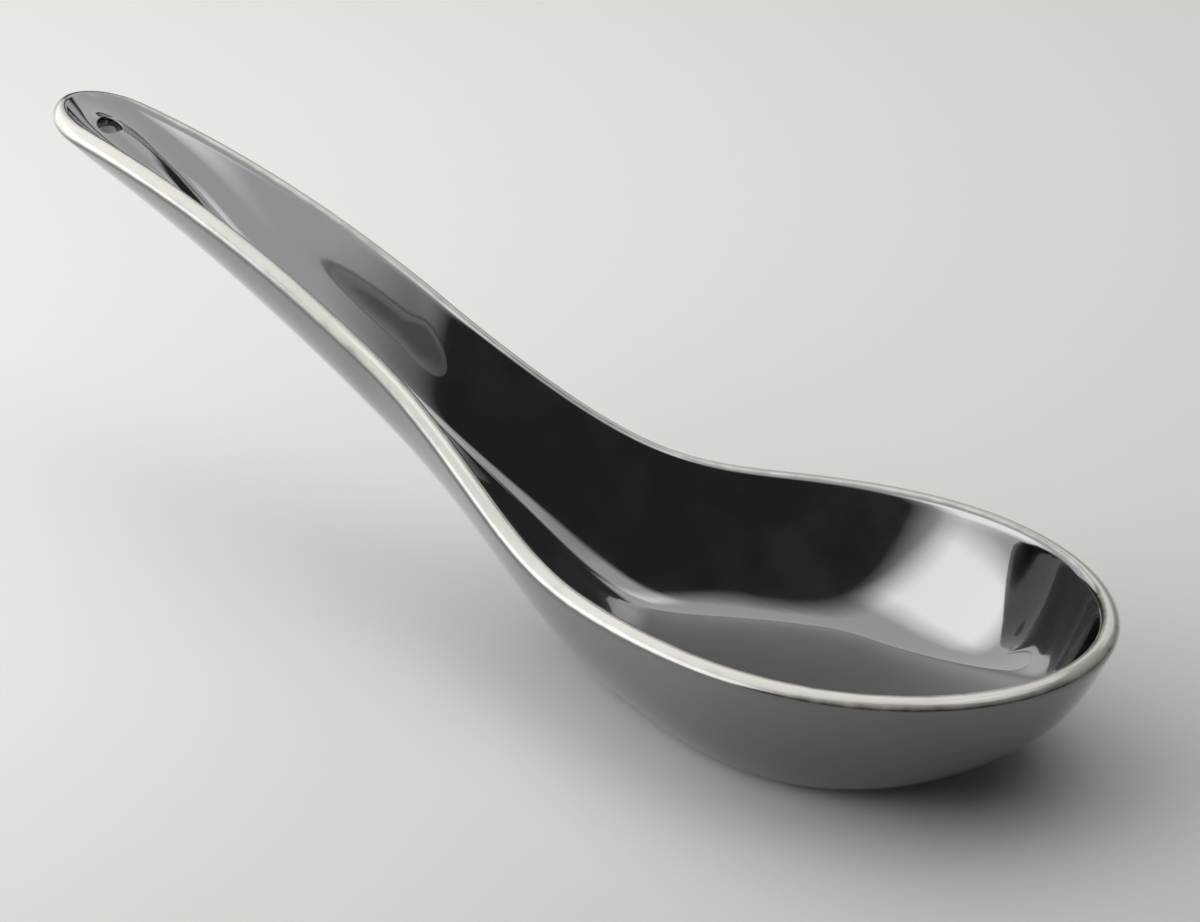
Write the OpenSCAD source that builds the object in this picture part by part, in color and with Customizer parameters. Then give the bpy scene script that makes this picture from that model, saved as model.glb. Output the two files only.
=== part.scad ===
// Chinese soup spoon: a fired ceramic body with a flat foot, under a coat of black glaze.
// The bowl's front points along +X and the handle rises along -X. The origin is on the foot.
// Lengths are in millimetres. Both pieces follow one middle surface, halfway through the wall.

/* [Lip] */
// Length of the spoon, from the middle of the lip at the front to its middle at the tip
rim_length = 133.4; // [115:0.5:155]
// Width of the bowl, between the middles of its lip
rim_width = 44; // [36:0.1:52]
// Distance from the front to the widest place of the bowl
widest_at = 29; // [22:0.1:36]
// Distance from the front to the place where the handle's straight taper starts
neck_at = 88; // [75:0.5:100]
// Width between the middles of the lip where the straight taper starts
neck_width = 15; // [12:0.1:20]
// Width between the middles of the lip where the tip starts to round off
tip_width = 9.4; // [8.6:0.1:12]
// Length over which the tip rounds off
tip_round = 6.5; // [5:0.1:10]
// Height of the rounded crown on top of the lip
lip_crown = 0.6; // [0.3:0.05:1]

/* [Side view] */
// Height of the lip's middle at the front of the bowl
front_height = 18.1; // [15:0.1:22]
// Height of the lip's middle at the tip of the handle
tip_height = 46.5; // [40:0.1:56]
// Slope at which the bowl's lip falls towards the neck, in degrees
lip_fall = 3; // [0:0.1:5]
// Slope of the handle where it leaves the bowl, in degrees
neck_slope = 37; // [30:0.5:42]
// Slope of the handle at its tip, in degrees
tip_slope = 7.6; // [0:0.2:16]
// Distance from the front to the place where the handle has its full slope
slope_at = 60; // [52:0.5:68]
// Height over which the bowl's lip bends into the handle's
lip_bend = 13; // [7:0.1:18]
// Height over which the floor bends into the handle's channel
floor_bend = 10; // [7:0.1:15]

/* [Bowl and channel] */
// Depth of the handle's channel at the neck
neck_depth = 10.6; // [8:0.1:12]
// Depth of the handle's channel at the tip
tip_depth = 3.3; // [3:0.1:5]
// Height that the floor climbs at the very front of the bowl
front_rise = 6.5; // [4:0.1:8]
// Distance from the front over which the floor climbs
rise_length = 26; // [20:0.1:32]
// Distance from the front to the place where the flat of the floor starts to narrow
flat_wide_at = 30; // [24:0.5:36]
// Distance from the front to the place where the flat of the floor ends in the channel
flat_end_at = 66; // [56:0.5:76]
// Distance from the front of the lip to the front end of the floor's centre line
front_inset = 8.3; // [6:0.1:12]
// Distance from the tip of the lip to the hang hole, where the centre line ends
tip_inset = 5.2; // [5:0.1:7]
// How fast the walls steepen along the sides of the bowl
side_power = 1.8; // [1.6:0.02:2.4]
// How fast the wall steepens at the front of the bowl
front_power = 2.46; // [1.8:0.02:3]
// How fast the walls of the handle's channel steepen
channel_power = 1.8; // [1.6:0.05:3]

/* [Body and glaze] */
// Thickness of the fired body's wall
body_wall = 1.7; // [1.4:0.05:2.4]
// Thickness of the glaze on each side of the body
glaze_wall = 0.3; // [0.2:0.05:0.5]
// Extra thickness inside, under the flat of the floor
floor_extra = 0.8; // [0:0.05:1.5]
// Extra thickness inside, round the hang hole
tip_extra = 1.6; // [0:0.05:2]
// Distance from the tip over which that extra thickness fades out
tip_extra_run = 22; // [12:0.5:40]
// Depth that the foot is ground flat into the rounded underside
foot_ground = 0.4; // [0.2:0.05:0.6]
// Height above the table at which the glaze stops and the bare foot starts
glaze_line = 0.5; // [0.3:0.05:0.8]
// Diameter of the hang hole, through the glaze
hang_hole = 2.8; // [2:0.1:4]

/* [Smoothness] */
// Stations along each side of the lip
stations = 52; // [32:2:64]
// Steps from the centre line to the lip
steps = 9; // [6:1:12]
// Steps across the crown of the lip
crown_steps = 4; // [2:1:6]

/* [Hidden] */

// Flat part of each half of the floor, in the bowl and in the handle's channel
bowl_flat_share = 0.59;
channel_flat_share = 0.15;
// Part of the walls' height that is a shallow dish, from the centre line out to the lip
dish_share = 0.06;
// The origin lies this share of the length behind the front, in the middle of the foot
foot_share = 0.3;
// Steps towards the lip get shorter by this power
step_power = 1.6;
// The smallest share of the half width at which the surface's direction is taken
centre_share = 0.02;
// Small turn, share and length over which directions are measured
turn_probe = 0.05;
probe_share = 0.0005;
place_probe = rim_length * probe_share;

front_x = rim_length * foot_share;
floor_mid = body_wall / 2 - foot_ground;
// The centre line is shorter than the lip by this much for each unit of the lip's length
inset_gain = (front_inset + tip_inset) / rim_length;
cut_overrun = glaze_wall * 4;
columns = 2 * stations;
rings = 2 * steps + crown_steps;

// A value kept between 0 and 1, and one eased in and out between them
function kept(v) = min(1, max(0, v));
function eased(v) = kept(v) * kept(v) * (3 - 2 * kept(v));

// The larger of two heights, rounded where they come within one bend of each other
function bent(a, b, bend) = max(a, b) + bend / 6 * pow(max(bend - abs(a - b), 0) / bend, 3);

// How much a place, counted from the front, belongs to the bowl: 1 at its widest, 0 on the handle
function bowl_part(place) = 1 - eased((place - widest_at) / (neck_at - widest_at));

// How much a place belongs to the climbing front of the floor
function front_part(place) = pow(max(1 - place / rise_length, 0), 2);

// How far a place is along the handle's channel
function channel_part(place) = max(place - slope_at, 0) / (rim_length - slope_at);

// Half width of the lip: an ellipse at the front, a long ease into the handle, a round tip
function half_width(place) = let (
    taper = kept((place - neck_at) / (rim_length - neck_at)),
    handle = (neck_width + (tip_width - neck_width) * taper) / 2,
    plain = handle + (rim_width / 2 - handle) * bowl_part(place),
    front = 1 - pow(kept(1 - place / widest_at), 2),
    tip = 1 - pow(kept((place - rim_length + tip_round) / tip_round), 2)
) plain * sqrt(front * tip);

// Height of the handle's arc, whose slope eases off evenly towards the tip
function arc_height(place) = let (
    left = rim_length - place,
    slope_gain = (tan(neck_slope) - tan(tip_slope)) / (rim_length - slope_at)
) tip_height - tan(tip_slope) * left - slope_gain * left * left / 2;

// Height of the lip, and height of the centre line below it
function lip_height(place) = bent(front_height - tan(lip_fall) * place, arc_height(place), lip_bend);
function channel_depth(place) = neck_depth + (tip_depth - neck_depth) * pow(channel_part(place), 3);
function centre_height(place) = bent(floor_mid, arc_height(place) - channel_depth(place), floor_bend)
    + front_rise * front_part(place);

// Slope of the centre line along X, at which the floor runs on past its ends
function centre_slope(place) = let (
    rise = centre_height(place + place_probe) - centre_height(place - place_probe)
) rise / (2 * place_probe * (inset_gain - 1));

// Flat share of the floor, and the power by which the wall steepens beyond it
function flat_share(place) = bowl_flat_share
    - (bowl_flat_share - channel_flat_share) * eased((place - flat_wide_at) / (flat_end_at - flat_wide_at));
function wall_power(place) = channel_power + (side_power - channel_power) * bowl_part(place)
    + (front_power - side_power) * front_part(place);

// Place of a turn round the lip, which starts at the front, passes the tip at 180 degrees and returns
function turn_place(turn) = rim_length * (1 - cos(turn)) / 2;

// Point of the middle surface, for a turn round the lip and a share of the way out to it
function middle(turn, share) = let (
    place = turn_place(turn),
    lip_x = front_x - place,
    centre_x = lip_x - front_inset + inset_gain * place,
    flat = flat_share(place),
    wall_climb = pow(kept((share - flat) / (1 - flat)), wall_power(place)),
    climb = dish_share * share * share + (1 - dish_share) * wall_climb,
    out_x = lip_x - centre_x,
    low = centre_height(place),
    run_on = centre_slope(place) * out_x
) [
    centre_x + out_x * share * share,
    half_width(place) * sign(sin(turn)) * share,
    low + run_on * share * share + (lip_height(place) - low - run_on) * climb
];

// Direction square to the middle surface, pointing down and out of the spoon
function outward(turn, share) = let (
    near_share = max(share, centre_share),
    along = middle(turn + turn_probe, near_share) - middle(turn - turn_probe, near_share),
    across = middle(turn, near_share) - middle(turn, near_share - probe_share),
    square_on = cross(along, across)
) square_on / norm(square_on);

// Half of the wall on the inside, where the floor and the handle's tip are thicker, and on the outside
function inner_half(turn, share, coat) = let (
    place = turn_place(turn),
    flat = flat_share(place),
    floor_part = 1 - eased((share - flat) / (1 - flat)),
    bowl_extra = floor_extra * bowl_part(place) * (1 - front_part(place)),
    hole_place = rim_length - tip_inset,
    end_extra = tip_extra * eased(1 - (hole_place - place) / (tip_extra_run - tip_inset))
) body_wall / 2 + coat + (bowl_extra + end_extra) * floor_part;
function outer_half(coat) = body_wall / 2 + coat;

// Share of the way out at a step, with shorter steps near the lip
function step_share(step) = 1 - pow(1 - step / steps, step_power);

// Point of a ring: up the inside, over the crown of the lip and down the outside
function skin_point(turn, ring, coat) =
    ring <= steps ? let (share = step_share(ring))
        middle(turn, share) - outward(turn, share) * inner_half(turn, share, coat)
    : ring >= steps + crown_steps ? let (share = step_share(rings - ring))
        middle(turn, share) + outward(turn, share) * outer_half(coat)
    : let (
        lean = 180 * (ring - steps) / crown_steps,
        out = outward(turn, 1),
        up = cross(out, middle(turn + turn_probe, 1) - middle(turn - turn_probe, 1)),
        crown = lip_crown * (outer_half(coat) / outer_half(0))
    ) middle(turn, 1) - out * outer_half(coat) * cos(lean) + up / norm(up) * crown * sin(lean);

// Point on the centre line, which both sides of the spoon share
function centre_point(station, ring, coat) =
    let (p = skin_point(180 * station / stations, ring, coat)) [p.x, 0, p.z];

// Place in the list of points: the two centre lines first, then the rings between them
function point_index(column, ring) = let (turned = column % columns)
    ring == 0 ? min(turned, columns - turned)
    : ring == rings ? stations + 1 + min(turned, columns - turned)
    : 2 * (stations + 1) + (ring - 1) * columns + turned;

// Which way a cell of the grid is split, so that no triangle lies flat between the two sides
function split_outwards(column, ring) = sin(360 * (2 * column + 1) / columns) * (rings - 2 * ring - 1) > 0;

// Closed skin of the spoon, grown on every side by a coat
module spoon_skin(coat) {
    polyhedron(
        points = [
            for (ring = [0, rings]) for (station = [0 : stations]) centre_point(station, ring, coat),
            for (ring = [1 : rings - 1]) for (column = [0 : columns - 1])
                skin_point(360 * column / columns, ring, coat)
        ],
        faces = [
            for (ring = [0 : rings - 1]) for (column = [0 : columns - 1]) let (
                a = point_index(column, ring),
                b = point_index(column + 1, ring),
                c = point_index(column + 1, ring + 1),
                d = point_index(column, ring + 1)
            ) each (split_outwards(column, ring) ? [[a, b, c], [a, c, d]] : [[a, b, d], [b, c, d]])
        ],
        convexity = 6
    );
}

// Everything below a height, to cut the underside flat
module below(height) {
    translate([-rim_length, -rim_width, height - front_height])
        cube([2 * rim_length, 2 * rim_width, front_height]);
}

// Bore square to the wall at the handle's end of the centre line
module hang_bore(diameter) {
    out = outward(180, 0);
    depth = body_wall + 2 * (glaze_wall + tip_extra + cut_overrun);
    translate(middle(180, 0))
        rotate([0, atan2(out.x, out.z), 0])
            cylinder(d = diameter, h = depth, center = true, $fn = 64);
}

// Fired body: the whole spoon under its glaze, with the foot ground flat
module fired_body() {
    color("#d9d3c7") difference() {
        spoon_skin(0);
        below(0);
        hang_bore(hang_hole + 2 * glaze_wall);
    }
}

// Black glaze: a thin coat over the body, which lines the hang hole and stops short of the foot
module black_glaze() {
    color("#0b0b0d") difference() {
        spoon_skin(glaze_wall);
        difference() {
            spoon_skin(0);
            hang_bore(hang_hole + 2 * glaze_wall);
        }
        below(glaze_line);
        hang_bore(hang_hole);
    }
}

fired_body();
black_glaze();
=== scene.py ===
import math
import bpy
from mathutils import Matrix, Vector


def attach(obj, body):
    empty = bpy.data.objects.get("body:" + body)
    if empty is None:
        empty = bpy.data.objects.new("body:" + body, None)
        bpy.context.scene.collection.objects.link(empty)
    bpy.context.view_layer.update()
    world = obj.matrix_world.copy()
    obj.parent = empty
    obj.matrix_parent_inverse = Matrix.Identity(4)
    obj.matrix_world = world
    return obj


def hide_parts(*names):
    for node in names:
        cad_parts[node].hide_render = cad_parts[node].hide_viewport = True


# A Chinese soup spoon of fired clay under a mirror-black glaze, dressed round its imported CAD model.
mm = 0.001
# how near to a cut a point counts as lying on it, in millimetres
cutTolerance = 0.00001
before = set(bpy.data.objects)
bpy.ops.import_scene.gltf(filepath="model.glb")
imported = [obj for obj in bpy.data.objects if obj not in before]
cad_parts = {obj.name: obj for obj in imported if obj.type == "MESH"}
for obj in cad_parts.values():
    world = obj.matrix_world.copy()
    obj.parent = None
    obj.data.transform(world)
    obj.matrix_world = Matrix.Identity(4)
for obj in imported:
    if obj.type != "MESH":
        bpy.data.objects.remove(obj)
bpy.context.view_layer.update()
print("frame loaded:", sorted(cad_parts))


def selectOnly(piece):
    bpy.ops.object.select_all(action="DESELECT")
    piece.select_set(True)
    bpy.context.view_layer.objects.active = piece


def addModifier(piece, kind, **settings):
    selectOnly(piece)
    modifier = piece.modifiers.new(kind.title(), kind)
    for key, value in settings.items():
        setattr(modifier, key, value)
    bpy.ops.object.modifier_apply(modifier=modifier.name)


def cutBelow(piece, height, fill):
    selectOnly(piece)
    bpy.ops.object.mode_set(mode="EDIT")
    bpy.ops.mesh.select_all(action="SELECT")
    bpy.ops.mesh.bisect(plane_co=(0, 0, height * mm), plane_no=(0, 0, 1), use_fill=fill, clear_inner=True,
                        threshold=cutTolerance * mm)
    bpy.ops.object.mode_set(mode="OBJECT")


def linear(code):
    # a linear colour from an sRGB hex value
    parts = [int(code[start:start + 2], 16) / 255 for start in (1, 3, 5)]
    return [*(part / 12.92 if part <= 0.04045 else ((part + 0.055) / 1.055) ** 2.4 for part in parts), 1]


def addNode(tree, kind, inputs=None, **settings):
    # one node with its settings; an input is a value or another node's output
    node = tree.nodes.new(kind)
    for key, value in settings.items():
        setattr(node, key, value)
    for key, value in (inputs or {}).items():
        if isinstance(value, bpy.types.NodeSocket):
            tree.links.new(value, node.inputs[key])
        else:
            node.inputs[key].default_value = value
    return node


def newMaterial(name):
    material = bpy.data.materials.new(name)
    material.use_nodes = True
    return material, material.node_tree, material.node_tree.nodes["Principled BSDF"]


def direction(azimuth, elevation):
    # azimuth is counted from +X
    azimuth, elevation = math.radians(azimuth), math.radians(elevation)
    flat = math.cos(elevation)
    return Vector((math.cos(azimuth) * flat, math.sin(azimuth) * flat, math.sin(elevation)))


# The spoon's form, with the sizes of the CAD part, in millimetres and degrees. Only tipHeight is 0.05 less,
# because the crown is rounder here and has to stay inside the CAD part's box.
spoon = {
    # outline from above
    "length": 133.4, "width": 44, "widestAt": 29, "neckAt": 88, "neckWidth": 15, "tipWidth": 9.4,
    "tipRound": 6.5, "footShare": 0.3,
    # lip
    "frontHeight": 18.1, "tipHeight": 46.45, "lipFall": 3, "neckSlope": 37, "tipSlope": 7.6, "slopeAt": 60,
    "lipBend": 13, "crown": 0.6,
    # centre line of the bowl's floor and the channel
    "floorBend": 10, "neckDepth": 10.6, "tipDepth": 3.3, "frontRise": 6.5, "riseLength": 26,
    "frontInset": 8.3, "tipInset": 5.2,
    # how flat the middle is, and how the sides climb from there
    "flatWideAt": 30, "flatEndAt": 66, "bowlFlat": 0.59, "channelFlat": 0.15, "dish": 0.06,
    "sidePower": 1.8, "frontPower": 2.46, "channelPower": 1.8, "tipSoftening": 0.35,
    # walls, hang hole and foot
    "bodyWall": 1.7, "glazeWall": 0.3, "floorExtra": 0.8, "tipExtra": 1.6, "tipExtraRun": 22,
    "hangHole": 2.8, "footGround": 0.4, "glazeLine": 0.5,
}
frontX = spoon["length"] * spoon["footShare"]
insetGain = (spoon["frontInset"] + spoon["tipInset"]) / spoon["length"]
# how far apart slopes are measured: along the spoon as a share of its length, round the lip in degrees, and
# outwards as a share of the way out, but no nearer to the centre line than leastShare
probe = {"along": 0.0005, "turn": 0.05, "out": 0.0005, "leastShare": 0.02}


def kept(value):
    return min(1, max(0, value))


def eased(value):
    return kept(value) ** 2 * (3 - 2 * kept(value))


def tanOf(degrees):
    return math.tan(math.radians(degrees))


def bent(first, second, bend):
    # the larger of two heights, rounded where they meet
    return max(first, second) + bend / 6 * (max(bend - abs(first - second), 0) / bend) ** 3


def placeAt(turn):
    # how far back from the front of the lip
    return spoon["length"] * (1 - math.cos(math.radians(turn))) / 2


def bowlPart(place):
    return 1 - eased((place - spoon["widestAt"]) / (spoon["neckAt"] - spoon["widestAt"]))


def frontPart(place):
    return max(1 - place / spoon["riseLength"], 0) ** 2


def tipPart(place):
    run = spoon["tipExtraRun"] - spoon["tipInset"]
    return eased(1 - (spoon["length"] - spoon["tipInset"] - place) / run)


def halfWidth(place):
    taper = kept((place - spoon["neckAt"]) / (spoon["length"] - spoon["neckAt"]))
    handle = (spoon["neckWidth"] + (spoon["tipWidth"] - spoon["neckWidth"]) * taper) / 2
    front = 1 - kept(1 - place / spoon["widestAt"]) ** 2
    tip = 1 - kept((place - spoon["length"] + spoon["tipRound"]) / spoon["tipRound"]) ** 2
    return (handle + (spoon["width"] / 2 - handle) * bowlPart(place)) * math.sqrt(max(front * tip, 0))


def arcHeight(place):
    left = spoon["length"] - place
    gain = (tanOf(spoon["neckSlope"]) - tanOf(spoon["tipSlope"])) / (spoon["length"] - spoon["slopeAt"])
    return spoon["tipHeight"] - tanOf(spoon["tipSlope"]) * left - gain * left * left / 2


def lipHeight(place):
    bowlLip = spoon["frontHeight"] - tanOf(spoon["lipFall"]) * place
    return bent(bowlLip, arcHeight(place), spoon["lipBend"])


def centreHeight(place):
    along = max(place - spoon["slopeAt"], 0) / (spoon["length"] - spoon["slopeAt"])
    depth = spoon["neckDepth"] + (spoon["tipDepth"] - spoon["neckDepth"]) * along ** 3
    bottom = spoon["bodyWall"] / 2 - spoon["footGround"]
    return bent(bottom, arcHeight(place) - depth, spoon["floorBend"]) + spoon["frontRise"] * frontPart(place)


def flatShare(place):
    narrowing = eased((place - spoon["flatWideAt"]) / (spoon["flatEndAt"] - spoon["flatWideAt"]))
    return spoon["bowlFlat"] - (spoon["bowlFlat"] - spoon["channelFlat"]) * narrowing


def middle(turn, share):
    # the surface halfway through the wall: turn goes round the lip from the front, in degrees, and share
    # goes out from the centre line, from 0 to 1
    place = placeAt(turn)
    reach = spoon["length"] * probe["along"]
    lipX = frontX - place
    centreX = lipX - spoon["frontInset"] + insetGain * place
    outX = lipX - centreX
    flat = flatShare(place)
    power = spoon["channelPower"] + (spoon["sidePower"] - spoon["channelPower"]) * bowlPart(place)
    power += (spoon["frontPower"] - spoon["sidePower"]) * frontPart(place)
    # softer than the CAD part round the hang hole, by up to 0.2 mm, so that the glaze shows no crease there
    power += spoon["tipSoftening"] * tipPart(place) * (1 - share)
    climb = spoon["dish"] * share ** 2 + (1 - spoon["dish"]) * kept((share - flat) / (1 - flat)) ** power
    low = centreHeight(place)
    slope = (centreHeight(place + reach) - centreHeight(place - reach)) / (2 * reach * (insetGain - 1))
    runOn = slope * outX
    side = 0 if turn % 180 == 0 else math.copysign(1, math.sin(math.radians(turn)))
    return (centreX + outX * share ** 2, halfWidth(place) * side * share,
            low + runOn * share ** 2 + (lipHeight(place) - low - runOn) * climb)


def between(first, second):
    # taken in full precision, as a Vector holds too few digits for such short steps
    return Vector([end - start for start, end in zip(first, second)])


def alongLip(turn, share):
    return between(middle(turn - probe["turn"], share), middle(turn + probe["turn"], share)).normalized()


def outward(turn, share):
    share = max(share, probe["leastShare"])
    across = between(middle(turn, share - probe["out"]), middle(turn, share))
    return alongLip(turn, share).cross(across.normalized()).normalized()


def skinPoint(turn, share, side, coat):
    # side -1 is the inside of the spoon and 1 the outside; inside, the floor and the tip are thicker
    place = placeAt(turn)
    flat = flatShare(place)
    half = spoon["bodyWall"] / 2 + coat
    if side < 0:
        extra = spoon["floorExtra"] * bowlPart(place) * (1 - frontPart(place))
        extra += spoon["tipExtra"] * tipPart(place)
        half += extra * (1 - eased((share - flat) / (1 - flat)))
    return Vector(middle(turn, share)) + outward(turn, share) * half * side


def crownPoint(turn, lean, coat):
    # lean goes over the lip, from 0 on the inside to half a turn on the outside
    out = outward(turn, 1)
    half = spoon["bodyWall"] / 2 + coat
    up = out.cross(alongLip(turn, 1)).normalized()
    rise = spoon["crown"] * half / (spoon["bodyWall"] / 2)
    return Vector(middle(turn, 1)) - out * half * math.cos(lean) + up * rise * math.sin(lean)


holeCentre = Vector(middle(180, 0))
holeAxis = outward(180, 0)
tipward = Vector((0, 1, 0)).cross(holeAxis).normalized()


def fromHole(turn, share, side, coat):
    gap = skinPoint(turn, share, side, coat) - holeCentre
    return gap.dot(tipward), gap.y


# the search for the edge, in degrees and shares: its first guess for a radius of 1 mm, the steps that it
# measures slopes by, and the longest step of a round
edgeSearch = {"rounds": 30, "turnGuess": 10, "shareGuess": 0.4, "turnStep": 0.1, "shareStep": 0.005,
              "mostTurn": 1, "mostShare": 0.05}


def heldTo(most, move):
    return min(most, max(-most, move))


def holeEdge(angle, side, coat, beyond=0):
    # turn and share of a point on the hang hole's edge, by Newton's method; angle 0 is towards the tip
    angle = math.radians(angle)
    radius = spoon["hangHole"] / 2 + spoon["glazeWall"] - coat + beyond
    turn = 180 - edgeSearch["turnGuess"] * math.sqrt(radius) * math.sin(angle / 2)
    share = edgeSearch["shareGuess"] * math.sqrt(radius) * math.cos(angle / 2)
    turnStep, shareStep = edgeSearch["turnStep"], edgeSearch["shareStep"]
    for _ in range(edgeSearch["rounds"]):
        here = fromHole(turn, share, side, coat)
        turned = fromHole(turn - turnStep, share, side, coat)
        further = fromHole(turn, share + shareStep, side, coat)
        xTurn, yTurn = ((new - old) / -turnStep for new, old in zip(turned, here))
        xShare, yShare = ((new - old) / shareStep for new, old in zip(further, here))
        x = radius * math.cos(angle) - here[0]
        y = radius * math.sin(angle) - here[1]
        area = xTurn * yShare - xShare * yTurn
        turn = min(180, turn + heldTo(edgeSearch["mostTurn"], (x * yShare - xShare * y) / area))
        share = kept(share + heldTo(edgeSearch["mostShare"], (xTurn * y - x * yTurn) / area))
    return turn, share


# The skins' grid: columns stand side by side round the lip, and steps go out from the centre line. The ring,
# the weld and the rounding are in millimetres, and mouthSharp is in degrees.
grid = {"columns": 208, "holeColumns": 16, "blendColumns": 30, "holeRing": 0.45, "ringSqueeze": 14 / 15,
        "steps": 16, "crownSteps": 8, "stepPower": 1.5, "weld": 0.002, "mouthSharp": 50, "mouthRound": 0.25,
        "mouthSegments": 3}


def columnStarts(side, coat):
    # turn and share of the first point of each column of half the grid, and of the second where it has a
    # place of its own: most columns start on the centre line, and the last ones evenly round the hang hole,
    # with a ring of even width about it
    last = grid["columns"] // 2
    first = last - grid["holeColumns"]
    mouth = []
    for column in range(first, last + 1):
        angle = 180 * (last - column) / grid["holeColumns"]
        ring = holeEdge(angle * grid["ringSqueeze"], side, coat, grid["holeRing"])
        mouth.append((holeEdge(angle, side, coat), ring))
    nearest = mouth[0][0][0]
    mouth[0] = (nearest, 0), mouth[0][1]
    shift = nearest - 180 * first / last
    starts = []
    for column in range(first):
        near = kept((column - first + grid["blendColumns"]) / grid["blendColumns"])
        starts.append(((180 * column / last + shift * near ** 2, 0), None))
    return starts + mouth


def spoonSkin(name, coat):
    # a flat grid folded round the lip: up the inside, over the crown and down the outside
    steps = grid["steps"]
    rings = 2 * steps + grid["crownSteps"]
    bpy.ops.object.select_all(action="DESELECT")
    bpy.ops.mesh.primitive_grid_add(x_subdivisions=grid["columns"], y_subdivisions=rings, size=2)
    piece = bpy.context.object
    piece.name = piece.data.name = name
    starts = {side: columnStarts(side, coat) for side in (-1, 1)}
    thinness = piece.data.attributes.new("thinness", "FLOAT", "POINT")
    for vertex in piece.data.vertices:
        column = round((vertex.co.x + 1) / 2 * grid["columns"])
        ring = round((vertex.co.y + 1) / 2 * rings)
        mirrored = column > grid["columns"] / 2
        column = min(column, grid["columns"] - column)
        turn = 360 * column / grid["columns"]
        if steps < ring < rings - steps:
            lean = math.pi * (ring - steps) / grid["crownSteps"]
            point = crownPoint(turn, lean, coat)
            # how far over the crown: it masks the pale lip colour, which is partly thinned glaze and partly a
            # painted highlight along the lip
            thinness.data[vertex.index].value = math.sin(lean)
        else:
            side = -1 if ring <= steps else 1
            step = ring if side < 0 else rings - ring
            (startTurn, start), second = starts[side][column]
            out = 1 - (1 - step / steps) ** grid["stepPower"]
            # a column at the hang hole goes on from the hole's ring
            if second and step:
                startTurn, start = second
                out = 1 - (1 - (step - 1) / (steps - 1)) ** grid["stepPower"]
            share = start + (1 - start) * out
            point = skinPoint(startTurn + (turn - startTurn) * out, share, side, coat)
            if share == 0:
                point.y = 0
        if mirrored:
            point.y = -point.y
        vertex.co = point * mm
    # close the seam at the front and the fold along the centre line
    selectOnly(piece)
    bpy.ops.object.mode_set(mode="EDIT")
    bpy.ops.mesh.select_all(action="SELECT")
    bpy.ops.mesh.remove_doubles(threshold=grid["weld"] * mm)
    # line the hang hole and round its two mouths
    bpy.ops.mesh.select_all(action="DESELECT")
    bpy.ops.mesh.select_mode(type="EDGE")
    bpy.ops.mesh.select_non_manifold(extend=False, use_wire=False, use_multi_face=False,
                                     use_non_contiguous=False, use_verts=False)
    bpy.ops.mesh.bridge_edge_loops(number_cuts=1)
    bpy.ops.mesh.select_all(action="SELECT")
    bpy.ops.mesh.normals_make_consistent(inside=False)
    bpy.ops.mesh.select_all(action="DESELECT")
    bpy.ops.mesh.edges_select_sharp(sharpness=math.radians(grid["mouthSharp"]))
    bpy.ops.mesh.bevel(offset=grid["mouthRound"] * mm, segments=grid["mouthSegments"], affect="EDGES")
    bpy.ops.object.mode_set(mode="OBJECT")
    bpy.ops.object.shade_smooth()
    addModifier(piece, "SUBSURF", levels=1, render_levels=1)
    return piece


coat = spoonSkin("glaze_coat", spoon["glazeWall"])
cutBelow(coat, spoon["glazeLine"], False)
addModifier(coat, "SOLIDIFY", thickness=spoon["glazeWall"] * mm, offset=-1)
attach(coat, "root")
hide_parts("black_glaze")
print("glaze coat made:", len(coat.data.polygons), "faces")

# Mirror-black glaze: dipped and fired, a thick black glass that mirrors the lamps. Over the lip it goes to a
# pale, drier grey, partly where the glaze thinned and partly as a painted highlight along the lip. It is
# faintly hazed in clouds and uneven where it ran, and has a few pinholes.
glazeLook = {
    "deep": "#060607", "haze": "#1d1d20", "thin": "#b9b4ab", "iorBase": 1.6, "iorCoat": 2.1,
    "roughness": 0.07, "hazeRoughness": 0.16, "thinRoughness": 0.35, "coatRoughness": 0.02,
    "mottleSize": 2.5, "mottleDetail": 3, "mottleShare": 0.5, "paleLipFrom": 0.35, "paleLipTo": 1.0,
    "hazeSize": 9, "hazeDetail": 4, "hazeFrom": 0.42, "hazeTo": 0.72,
    "runSize": 14, "runDetail": 1, "runHeight": 0.012, "skinSize": 2.2, "skinDetail": 1, "skinHeight": 0.0012,
    "pinholeSpacing": 4, "pinholeSize": 0.2, "pinholeShare": 0.12, "pinholeDepth": 0.05,
    "pinholeThinnest": 0.1,
}
look = glazeLook
glaze, tree, shader = newMaterial("mirror_black_glaze")
shader.inputs["IOR"].default_value = look["iorBase"]
shader.inputs["Coat Weight"].default_value = 1
shader.inputs["Coat Roughness"].default_value = look["coatRoughness"]
shader.inputs["Coat IOR"].default_value = look["iorCoat"]
place = addNode(tree, "ShaderNodeTexCoord").outputs["Object"]
# the pale band over the lip, with a mottled edge: partly the glaze breaking thin, partly a painted highlight
# along the lip
thinness = addNode(tree, "ShaderNodeAttribute", attribute_name="thinness").outputs["Fac"]
mottle = addNode(tree, "ShaderNodeTexNoise", {
    "Vector": place, "Scale": 1 / (look["mottleSize"] * mm), "Detail": look["mottleDetail"]})
uneven = addNode(tree, "ShaderNodeMath", {0: mottle.outputs["Fac"], 1: 0.5}, operation="SUBTRACT")
uneven = addNode(tree, "ShaderNodeMath", {0: uneven.outputs[0], 1: look["mottleShare"], 2: thinness},
                 operation="MULTIPLY_ADD")
brokenAndHighlit = addNode(tree, "ShaderNodeMapRange", {
    "Value": uneven.outputs[0], "From Min": look["paleLipFrom"], "From Max": look["paleLipTo"]},
    interpolation_type="SMOOTHSTEP").outputs[0]
# clouds of haze, where fine crystals dull the black
cloud = addNode(tree, "ShaderNodeTexNoise", {
    "Vector": place, "Scale": 1 / (look["hazeSize"] * mm), "Detail": look["hazeDetail"]})
hazed = addNode(tree, "ShaderNodeMapRange", {
    "Value": cloud.outputs["Fac"], "From Min": look["hazeFrom"], "From Max": look["hazeTo"]},
    interpolation_type="SMOOTHSTEP").outputs[0]
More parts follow.
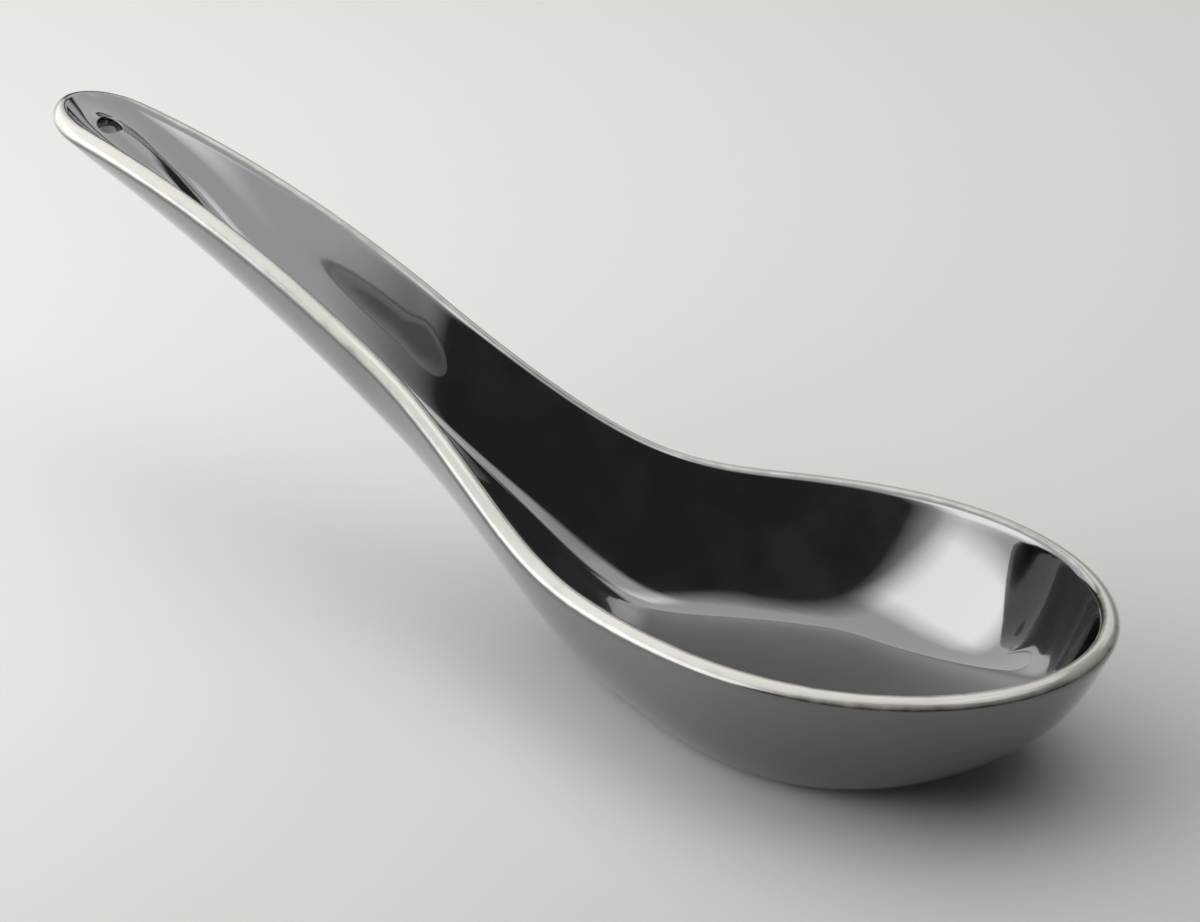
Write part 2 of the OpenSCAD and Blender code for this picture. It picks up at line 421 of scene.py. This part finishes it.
# pinholes: in a few of the cells, a pit at the cell's middle, but none on the lip's crown, where the glaze is
# thin and the painted highlight lies
cells = addNode(tree, "ShaderNodeTexVoronoi", {"Vector": place, "Scale": 1 / (look["pinholeSpacing"] * mm)})
chosen = addNode(tree, "ShaderNodeSeparateColor", {0: cells.outputs["Color"]})
chosen = addNode(tree, "ShaderNodeMath", {0: chosen.outputs[0], 1: look["pinholeShare"]},
                 operation="LESS_THAN")
pit = addNode(tree, "ShaderNodeMapRange", {
    "Value": cells.outputs["Distance"], "From Min": 0,
    "From Max": look["pinholeSize"] / look["pinholeSpacing"], "To Min": 1, "To Max": 0},
    interpolation_type="SMOOTHSTEP")
thick = addNode(tree, "ShaderNodeMapRange", {
    "Value": thinness, "From Max": look["pinholeThinnest"], "To Min": 1, "To Max": 0})
pit = addNode(tree, "ShaderNodeMath", {0: pit.outputs[0], 1: chosen.outputs[0]}, operation="MULTIPLY")
pit = addNode(tree, "ShaderNodeMath", {0: pit.outputs[0], 1: thick.outputs[0]}, operation="MULTIPLY")
colour = addNode(tree, "ShaderNodeMix", {0: hazed, 6: linear(look["deep"]), 7: linear(look["haze"])},
                 data_type="RGBA")
colour = addNode(tree, "ShaderNodeMix", {0: brokenAndHighlit, 6: colour.outputs[2], 7: linear(look["thin"])},
                 data_type="RGBA")
tree.links.new(colour.outputs[2], shader.inputs["Base Color"])
rough = addNode(tree, "ShaderNodeMapRange", {
    "Value": hazed, "To Min": look["roughness"], "To Max": look["hazeRoughness"]})
rough = addNode(tree, "ShaderNodeMapRange", {
    "Value": brokenAndHighlit, "To Min": rough.outputs[0], "To Max": look["thinRoughness"]})
tree.links.new(rough.outputs[0], shader.inputs["Roughness"])
# the unevenness where it ran, the finer skin over it, and the pits
run = addNode(tree, "ShaderNodeTexNoise", {
    "Vector": place, "Scale": 1 / (look["runSize"] * mm), "Detail": look["runDetail"]})
fine = addNode(tree, "ShaderNodeTexNoise", {
    "Vector": place, "Scale": 1 / (look["skinSize"] * mm), "Detail": look["skinDetail"]})
bump = addNode(tree, "ShaderNodeBump", {
    "Strength": 1, "Distance": look["runHeight"] * mm, "Height": run.outputs["Fac"]})
bump = addNode(tree, "ShaderNodeBump", {
    "Strength": 1, "Distance": look["skinHeight"] * mm, "Height": fine.outputs["Fac"],
    "Normal": bump.outputs[0]})
bump = addNode(tree, "ShaderNodeBump", {
    "Strength": 1, "Distance": look["pinholeDepth"] * mm, "Height": pit.outputs[0],
    "Normal": bump.outputs[0]}, invert=True)
tree.links.new(bump.outputs[0], shader.inputs["Normal"])
tree.links.new(bump.outputs[0], shader.inputs["Coat Normal"])
coat.data.materials.append(glaze)

body = spoonSkin("clay_body", 0)
cutBelow(body, 0, True)
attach(body, "root")
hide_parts("fired_body")
print("clay body made:", len(body.data.polygons), "faces")

# Bare fired clay: wiped, ground flat and sanded, a warm pale grey with fine grit and iron specks, dull and
# dry to the eye, and toasted darker next to the glaze.
clayLook = {
    "light": "#d8cdbb", "dark": "#b5a58e", "toast": "#b0917a", "speck": "#5d4636", "roughness": 0.88,
    "patchSize": 7, "patchDetail": 5, "footLength": 14.5, "footWidth": 12.9, "toastMottle": 0.2,
    "toastFrom": 0.96, "toastTo": 1.1, "speckSpacing": 1.6, "speckCore": 0.05, "speckSize": 0.16,
    "gritSize": 0.35, "gritDetail": 3, "gritHeight": 0.03, "gritStrength": 0.6,
}
look = clayLook
clay, tree, shader = newMaterial("bare_fired_clay")
place = addNode(tree, "ShaderNodeTexCoord").outputs["Object"]
patch = addNode(tree, "ShaderNodeTexNoise", {
    "Vector": place, "Scale": 1 / (look["patchSize"] * mm), "Detail": look["patchDetail"]}).outputs["Fac"]
colour = addNode(tree, "ShaderNodeMix", {0: patch, 6: linear(look["light"]), 7: linear(look["dark"])},
                 data_type="RGBA")
# the toasted rim: how far out on the foot's oval, made uneven by the patches
ovalScale = 1 / (look["footLength"] * mm), 1 / (look["footWidth"] * mm), 0
oval = addNode(tree, "ShaderNodeVectorMath", {0: place, 1: ovalScale}, operation="MULTIPLY")
oval = addNode(tree, "ShaderNodeVectorMath", {0: oval.outputs[0]}, operation="LENGTH").outputs["Value"]
oval = addNode(tree, "ShaderNodeMath", {0: patch, 1: look["toastMottle"], 2: oval}, operation="MULTIPLY_ADD")
toasted = addNode(tree, "ShaderNodeMapRange", {
    "Value": oval.outputs[0], "From Min": look["toastFrom"], "From Max": look["toastTo"]},
    interpolation_type="SMOOTHSTEP")
colour = addNode(tree, "ShaderNodeMix", {
    0: toasted.outputs[0], 6: colour.outputs[2], 7: linear(look["toast"])}, data_type="RGBA")
cells = addNode(tree, "ShaderNodeTexVoronoi", {"Vector": place, "Scale": 1 / (look["speckSpacing"] * mm)})
dot = addNode(tree, "ShaderNodeMapRange", {
    "Value": cells.outputs["Distance"], "From Min": look["speckCore"],
    "From Max": look["speckSize"] / look["speckSpacing"], "To Min": 1, "To Max": 0})
colour = addNode(tree, "ShaderNodeMix", {
    0: dot.outputs[0], 6: colour.outputs[2], 7: linear(look["speck"])}, data_type="RGBA")
tree.links.new(colour.outputs[2], shader.inputs["Base Color"])
shader.inputs["Roughness"].default_value = look["roughness"]
grit = addNode(tree, "ShaderNodeTexNoise", {
    "Vector": place, "Scale": 1 / (look["gritSize"] * mm), "Detail": look["gritDetail"]})
bump = addNode(tree, "ShaderNodeBump", {
    "Strength": look["gritStrength"], "Distance": look["gritHeight"] * mm, "Height": grit.outputs["Fac"]})
tree.links.new(bump.outputs[0], shader.inputs["Normal"])
body.data.materials.append(clay)
print("glaze and clay made")

studio = {
    "floorSize": 8000, "floorColour": "#cfcecb", "floorRoughness": 0.7, "worldColour": "#8c8c8c",
    "worldLevel": 0.25, "aim": (-20, 0, 15),
}
# Soft panels: where the middle is, seen from the aim, how far the face turns and tilts off the aim, its
# size, the brightness of its middle, and the share of its half width over which it fades at the edge.
panels = {
    "near_panel": {"azimuth": 195.3, "elevation": 10.8, "distance": 262, "turn": 41.5, "tilt": 41.6,
                   "width": 466, "height": 1426, "level": 1.54, "fade": 0.22},
    "wide_panel": {"azimuth": 224.1, "elevation": 17.7, "distance": 1111, "turn": -2.4, "tilt": 43.7,
                   "width": 860, "height": 801, "level": 2.49, "fade": 0.6},
    "top_panel": {"azimuth": 5, "elevation": 68, "distance": 620, "turn": 0, "tilt": 0,
                  "width": 320, "height": 320, "level": 1.5, "fade": 0.5},
    "back_panel": {"azimuth": 98, "elevation": 27, "distance": 1000, "turn": 0, "tilt": 0,
                   "width": 600, "height": 300, "level": 1.0, "fade": 0.6},
}
bpy.ops.object.select_all(action="DESELECT")
bpy.ops.mesh.primitive_plane_add(size=studio["floorSize"] * mm)
floor = bpy.context.object
floor.name = "floor"
floorMaterial, tree, shader = newMaterial("pale_table")
shader.inputs["Base Color"].default_value = linear(studio["floorColour"])
shader.inputs["Roughness"].default_value = studio["floorRoughness"]
floor.data.materials.append(floorMaterial)

aim = Vector(studio["aim"]) * mm
for name, panel in panels.items():
    way = direction(panel["azimuth"], panel["elevation"])
    facing = direction(panel["azimuth"] + panel["turn"], panel["elevation"] + panel["tilt"])
    across = direction(panel["azimuth"] + panel["turn"] + 90, 0)
    # larger by half the fade, so that the face is half bright at the panel's own size
    grown = 1 + panel["fade"] / 2
    lamp = bpy.data.lights.new(name, "AREA")
    lamp.shape = "RECTANGLE"
    lamp.size = panel["width"] * grown * mm
    lamp.size_y = panel["height"] * grown * mm
    # watts that give the middle of the panel's face this radiance
    lamp.energy = panel["level"] * math.pi * lamp.size * lamp.size_y
    lamp.use_nodes = True
    tree = lamp.node_tree
    spot = addNode(tree, "ShaderNodeNewGeometry").outputs["Parametric"]
    parts = addNode(tree, "ShaderNodeSeparateXYZ", {0: spot})
    faded = []
    for axis in ("X", "Y"):
        off = addNode(tree, "ShaderNodeMath", {0: parts.outputs[axis], 1: 0.5}, operation="SUBTRACT")
        off = addNode(tree, "ShaderNodeMath", {0: off.outputs[0]}, operation="ABSOLUTE")
        faded.append(addNode(tree, "ShaderNodeMapRange", {
            "Value": off.outputs[0], "From Min": 0.5 - panel["fade"] / grown / 2, "From Max": 0.5,
            "To Min": 1, "To Max": 0}).outputs[0])
    strength = addNode(tree, "ShaderNodeMath", {0: faded[0], 1: faded[1]}, operation="MULTIPLY")
    tree.links.new(strength.outputs[0], tree.nodes["Emission"].inputs["Strength"])
    light = bpy.data.objects.new(name, lamp)
    bpy.context.scene.collection.objects.link(light)
    turned = Matrix((across, facing.cross(across), facing)).transposed().to_4x4()
    light.matrix_world = Matrix.Translation(aim + way * panel["distance"] * mm) @ turned
    light.visible_camera = False

world = bpy.data.worlds.new("studio")
world.use_nodes = True
bpy.context.scene.world = world
world.node_tree.nodes["Background"].inputs["Color"].default_value = linear(studio["worldColour"])
world.node_tree.nodes["Background"].inputs["Strength"].default_value = studio["worldLevel"]

# The photograph's view, found by fitting the spoon's outline to it. Its azimuth is counted from -Y. The clip
# is in metres, the rest in millimetres and degrees.
view = {"azimuth": 31.74, "elevation": 28.98, "roll": 1.42, "distance": 407.3, "target": (-20.05, 0, 22.33),
        "lens": 111.74, "sensor": 36, "clip": (0.01, 30)}
right = direction(view["azimuth"], 0)
back = direction(view["azimuth"] - 90, view["elevation"])
up = back.cross(right)
roll = math.radians(view["roll"])
rolledRight = right * math.cos(roll) + up * math.sin(roll)
rolledUp = up * math.cos(roll) - right * math.sin(roll)
lens = bpy.data.cameras.new("photo_camera")
lens.lens = view["lens"]
lens.sensor_width = view["sensor"]
lens.clip_start, lens.clip_end = view["clip"]
camera = bpy.data.objects.new("photo_camera", lens)
bpy.context.scene.collection.objects.link(camera)
turned = Matrix((rolledRight, rolledUp, back)).transposed().to_4x4()
camera.matrix_world = Matrix.Translation((Vector(view["target"]) + back * view["distance"]) * mm) @ turned
bpy.context.scene.camera = camera
bpy.context.scene.view_settings.view_transform = "Standard"
print("studio and camera set")
